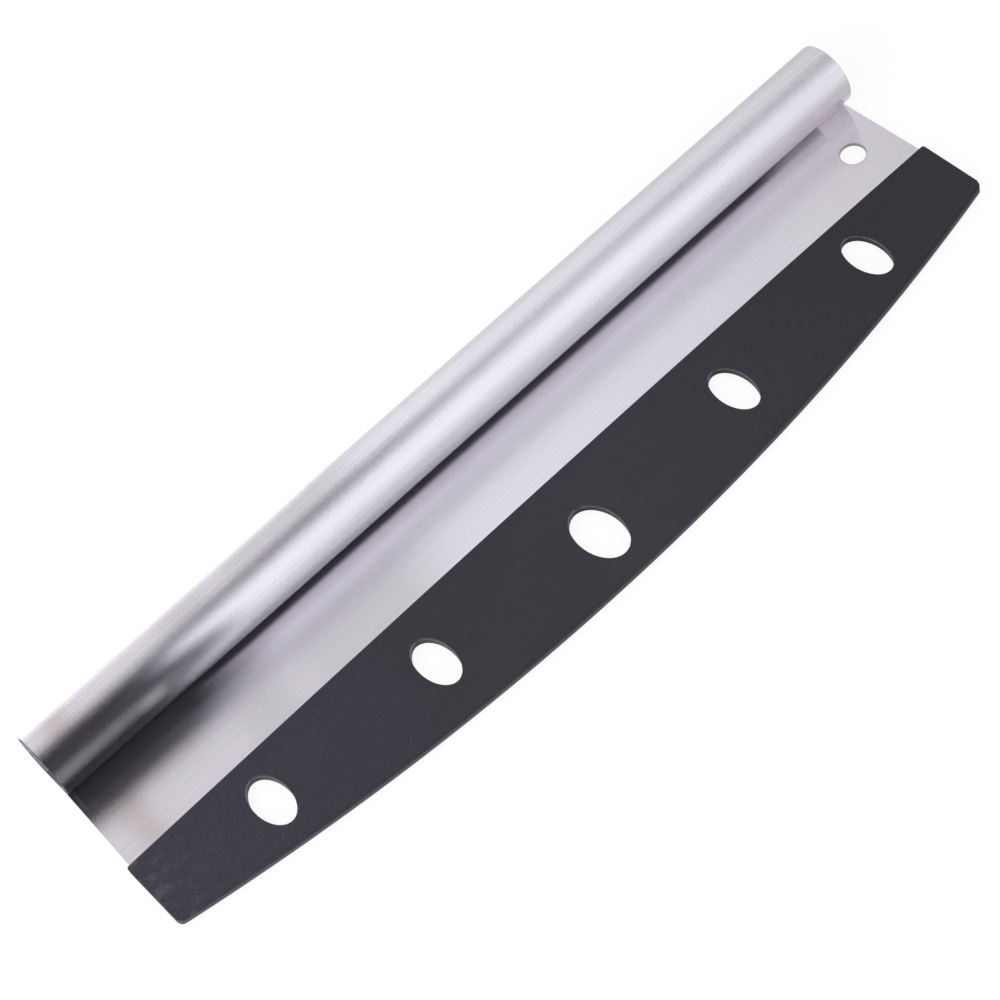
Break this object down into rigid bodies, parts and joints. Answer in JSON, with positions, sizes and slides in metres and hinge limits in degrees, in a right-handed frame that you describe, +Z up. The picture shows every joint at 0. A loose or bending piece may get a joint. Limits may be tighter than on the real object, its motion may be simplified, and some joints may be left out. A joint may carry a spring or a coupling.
{
  "type": "rocking pizza cutter",
  "caption": "Long curved blade pierced with oval windows, welded to a tubular handle along its back, in a slide-on plastic cover with matching windows.",
  "frame": {"origin": "middle of the footprint, on the surface under the back of the cover", "axes": "+X along the blade towards the hanging hole, +Y from the cutting edge to the handle, +Z up from the cover's back"},
  "size_m": [0.357, 0.098, 0.0246],
  "materials": {
    "blade_steel": "satin, brushed along the length",
    "handle_steel": "satin, brushed along the length",
    "weld_steel": "as welded, wire brushed",
    "cover_plastic": "matte moulded, charcoal black"
  },
  "bodies": {
    "cutter": {"blade": "blade_steel", "handle_tube": "handle_steel", "seam_weld": "weld_steel"},
    "cover": {"blade_cover": "cover_plastic"}
  },
  "joints": [
    {"name": "cover_slide", "type": "slide", "parent": "cutter", "child": "cover", "axis": [0, -1, 0], "range_m": [0, 0.07]}
  ]
}
